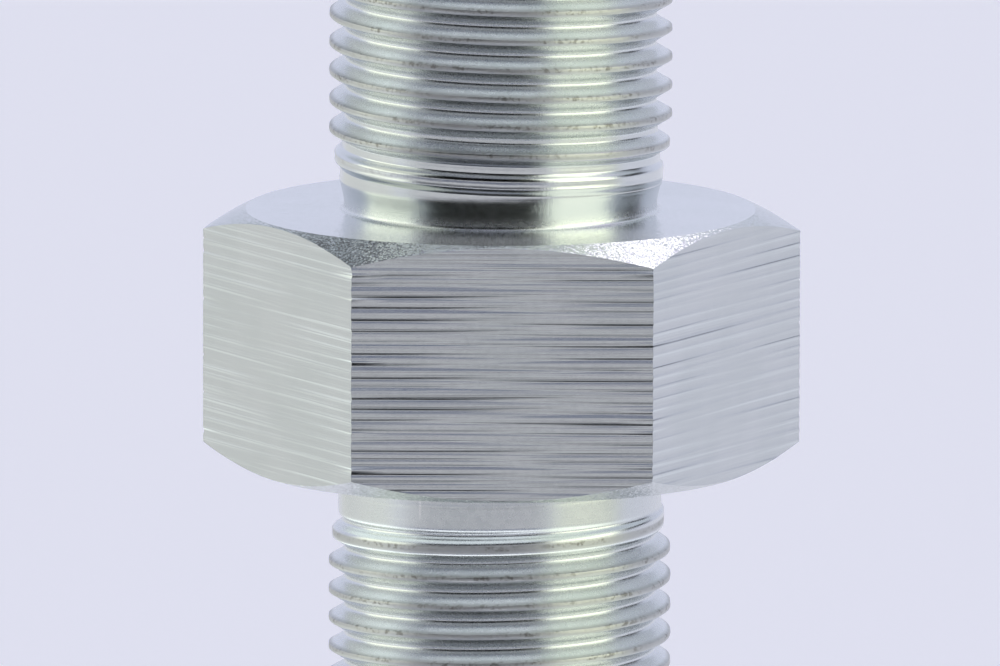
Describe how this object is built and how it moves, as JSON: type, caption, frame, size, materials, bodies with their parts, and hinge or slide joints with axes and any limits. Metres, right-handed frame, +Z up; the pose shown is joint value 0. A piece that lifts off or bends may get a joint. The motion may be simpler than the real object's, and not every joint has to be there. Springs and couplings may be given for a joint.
{
  "type": "hex-centre double-ended stud",
  "caption": "One-piece turnbuckle stud: hexagon collar in the middle, a left-hand threaded end above it and a right-hand threaded end below it.",
  "frame": {"origin": "centre of the lower end face, on which the stud stands", "axes": "+Z up along the stud's axis; +X towards a corner of the hexagon, so two of its flats face -Y and +Y"},
  "size_m": [0.0312, 0.027, 0.0634],
  "materials": {
    "zinc_plate": "bright zinc plate with a faint yellow-green tint, over tool feed marks on the hexagon's flats and turning marks on the necks and shoulders"
  },
  "bodies": {
    "root": {"stud": "zinc_plate"}
  },
  "joints": []
}
